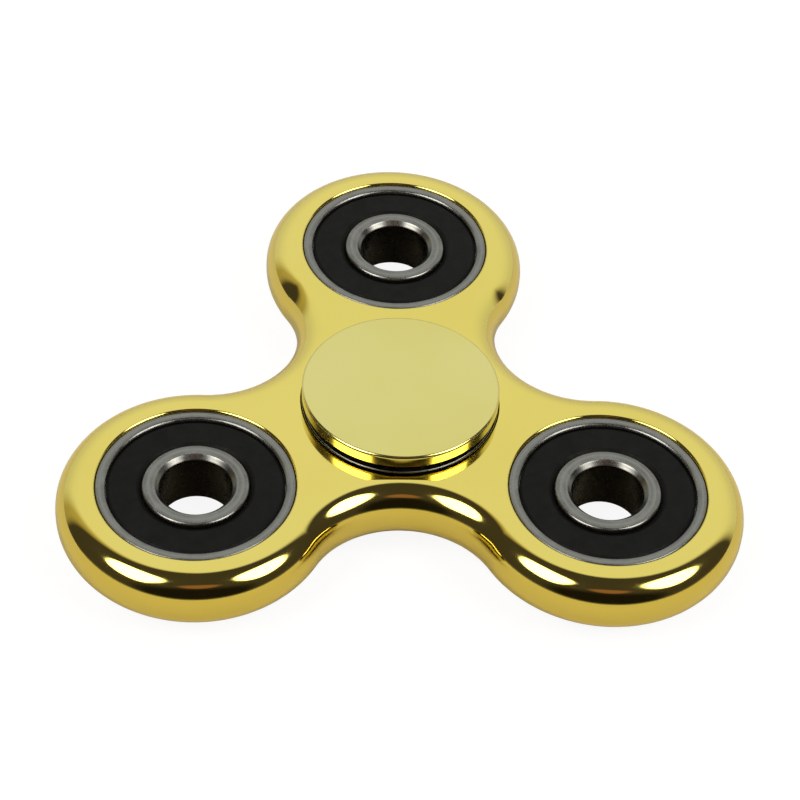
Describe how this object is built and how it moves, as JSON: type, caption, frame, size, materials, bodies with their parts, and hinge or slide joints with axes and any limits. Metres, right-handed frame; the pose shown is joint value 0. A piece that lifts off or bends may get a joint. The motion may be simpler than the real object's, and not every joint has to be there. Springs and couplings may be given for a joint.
{
  "type": "fidget spinner",
  "caption": "Fidget spinner with round lobes in mirror gold plating: a sealed ball bearing shows in each lobe, and flat round finger buttons cap the middle bearing.",
  "frame": {"origin": "on the spin axis, at the lower button's flat face, which the spinner rests on", "axes": "+Z along the spin axis towards the upper button, +Y towards one lobe, +X to its right"},
  "size_m": [0.0764, 0.0702, 0.0121],
  "materials": {
    "gold_plating": "polished",
    "ring_steel": "satin",
    "ball_steel": "polished",
    "cage_steel": "satin",
    "seal_rubber": "matte"
  },
  "bodies": {
    "hub": {"button_upper": "gold_plating", "button_lower": "gold_plating", "centre_inner_ring": "ring_steel"},
    "spinner": {"three_lobed_body": "gold_plating", "centre_outer_ring": "ring_steel", "centre_seal_upper": "seal_rubber", "centre_seal_lower": "seal_rubber", "lobe_a_outer_ring": "ring_steel", "lobe_a_seal_upper": "seal_rubber", "lobe_a_seal_lower": "seal_rubber", "lobe_b_outer_ring": "ring_steel", "lobe_b_seal_upper": "seal_rubber", "lobe_b_seal_lower": "seal_rubber", "lobe_c_outer_ring": "ring_steel", "lobe_c_seal_upper": "seal_rubber", "lobe_c_seal_lower": "seal_rubber"},
    "centre_balls": {"centre_cage_upper": "cage_steel", "centre_cage_lower": "cage_steel", "centre_ball_1": "ball_steel", "centre_ball_2": "ball_steel", "centre_ball_3": "ball_steel", "centre_ball_4": "ball_steel", "centre_ball_5": "ball_steel", "centre_ball_6": "ball_steel", "centre_ball_7": "ball_steel"},
    "lobe_a_ring": {"lobe_a_inner_ring": "ring_steel"},
    "lobe_a_balls": {"lobe_a_cage_upper": "cage_steel", "lobe_a_cage_lower": "cage_steel", "lobe_a_ball_1": "ball_steel", "lobe_a_ball_2": "ball_steel", "lobe_a_ball_3": "ball_steel", "lobe_a_ball_4": "ball_steel", "lobe_a_ball_5": "ball_steel", "lobe_a_ball_6": "ball_steel", "lobe_a_ball_7": "ball_steel"},
    "lobe_b_ring": {"lobe_b_inner_ring": "ring_steel"},
    "lobe_b_balls": {"lobe_b_cage_upper": "cage_steel", "lobe_b_cage_lower": "cage_steel", "lobe_b_ball_1": "ball_steel", "lobe_b_ball_2": "ball_steel", "lobe_b_ball_3": "ball_steel", "lobe_b_ball_4": "ball_steel", "lobe_b_ball_5": "ball_steel", "lobe_b_ball_6": "ball_steel", "lobe_b_ball_7": "ball_steel"},
    "lobe_c_ring": {"lobe_c_inner_ring": "ring_steel"},
    "lobe_c_balls": {"lobe_c_cage_upper": "cage_steel", "lobe_c_cage_lower": "cage_steel", "lobe_c_ball_1": "ball_steel", "lobe_c_ball_2": "ball_steel", "lobe_c_ball_3": "ball_steel", "lobe_c_ball_4": "ball_steel", "lobe_c_ball_5": "ball_steel", "lobe_c_ball_6": "ball_steel", "lobe_c_ball_7": "ball_steel"}
  },
  "joints": [
    {"name": "spin", "type": "hinge", "parent": "hub", "child": "spinner", "pos_m": [0, 0, 0.00605], "axis": [0, 0, 1], "continuous": true},
    {"name": "centre_balls_turn", "type": "hinge", "parent": "hub", "child": "centre_balls", "pos_m": [0, 0, 0.00605], "axis": [0, 0, 1], "continuous": true},
    {"name": "lobe_a_ring_turn", "type": "hinge", "parent": "spinner", "child": "lobe_a_ring", "pos_m": [0, 0.02627, 0.00605], "axis": [0, 0, 1], "continuous": true},
    {"name": "lobe_a_balls_turn", "type": "hinge", "parent": "spinner", "child": "lobe_a_balls", "pos_m": [0, 0.02627, 0.00605], "axis": [0, 0, 1], "continuous": true},
    {"name": "lobe_b_ring_turn", "type": "hinge", "parent": "spinner", "child": "lobe_b_ring", "pos_m": [-0.02275, -0.01314, 0.00605], "axis": [0, 0, 1], "continuous": true},
    {"name": "lobe_b_balls_turn", "type": "hinge", "parent": "spinner", "child": "lobe_b_balls", "pos_m": [-0.02275, -0.01314, 0.00605], "axis": [0, 0, 1], "continuous": true},
    {"name": "lobe_c_ring_turn", "type": "hinge", "parent": "spinner", "child": "lobe_c_ring", "pos_m": [0.02275, -0.01314, 0.00605], "axis": [0, 0, 1], "continuous": true},
    {"name": "lobe_c_balls_turn", "type": "hinge", "parent": "spinner", "child": "lobe_c_balls", "pos_m": [0.02275, -0.01314, 0.00605], "axis": [0, 0, 1], "continuous": true}
  ],
  "couplings": [
    {"joint": "centre_balls_turn", "follows": "spin", "ratio": 0.6323},
    {"joint": "lobe_a_balls_turn", "follows": "lobe_a_ring_turn", "ratio": 0.3677},
    {"joint": "lobe_b_balls_turn", "follows": "lobe_b_ring_turn", "ratio": 0.3677},
    {"joint": "lobe_c_balls_turn", "follows": "lobe_c_ring_turn", "ratio": 0.3677}
  ]
}
